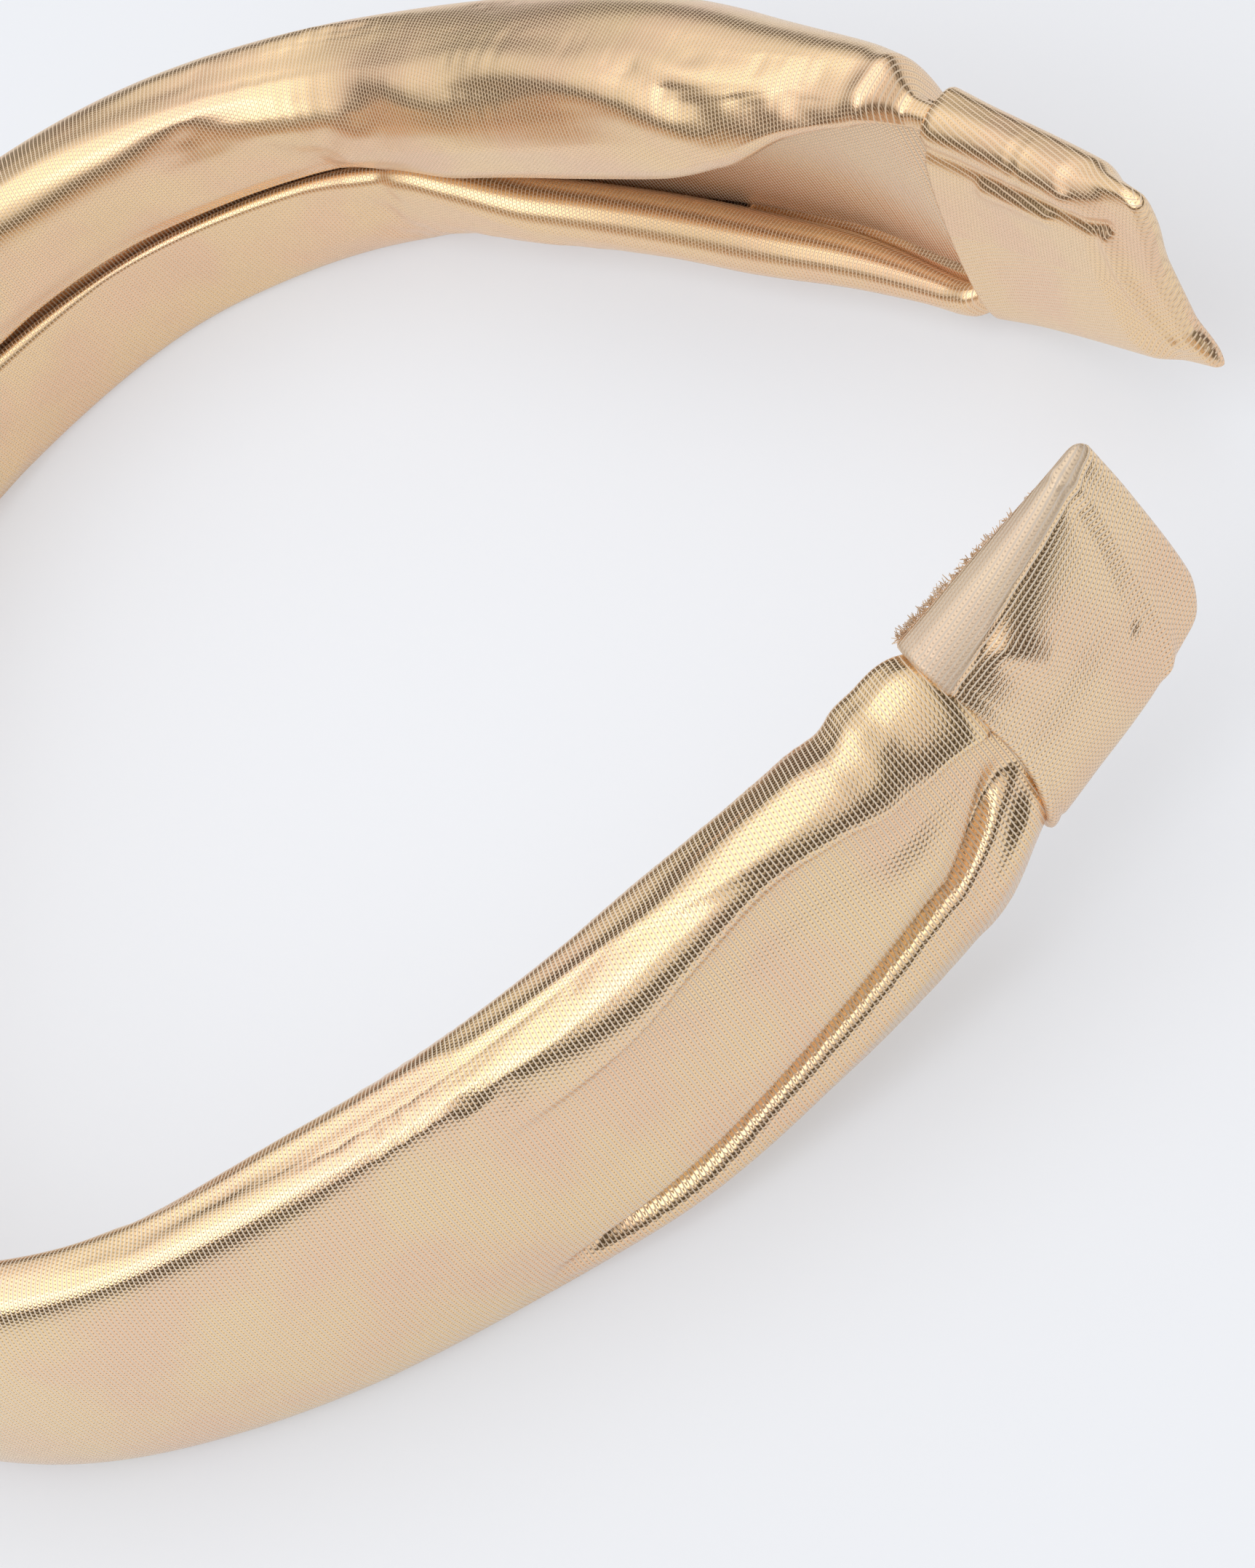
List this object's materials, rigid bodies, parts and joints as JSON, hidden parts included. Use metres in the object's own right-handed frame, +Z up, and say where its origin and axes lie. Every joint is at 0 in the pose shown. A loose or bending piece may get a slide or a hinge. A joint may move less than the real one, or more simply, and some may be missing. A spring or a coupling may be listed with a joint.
{
  "type": "knot headband",
  "caption": "Padded knot headband: a stiff cloth-covered hoop in two gathered metallic cloth sleeves, with flat sewn tips.",
  "frame": {"origin": "on the floor, under the middle of the outline", "axes": "+X from the crown with the knot towards the tips, +Y towards the left arm, +Z up from the edge that it lies on"},
  "size_m": [0.1648, 0.1326, 0.0384],
  "materials": {
    "sleeve_cloth": "champagne gold foil knit",
    "wrap_cloth": "pale gold foil knit",
    "band_cloth": "matt gold knit"
  },
  "bodies": {
    "root": {"inner_band": "band_cloth", "right_cover": "sleeve_cloth", "left_cover": "sleeve_cloth", "knot_wrap": "sleeve_cloth", "right_tip_wrap": "wrap_cloth", "left_tip_wrap": "wrap_cloth"}
  },
  "joints": []
}
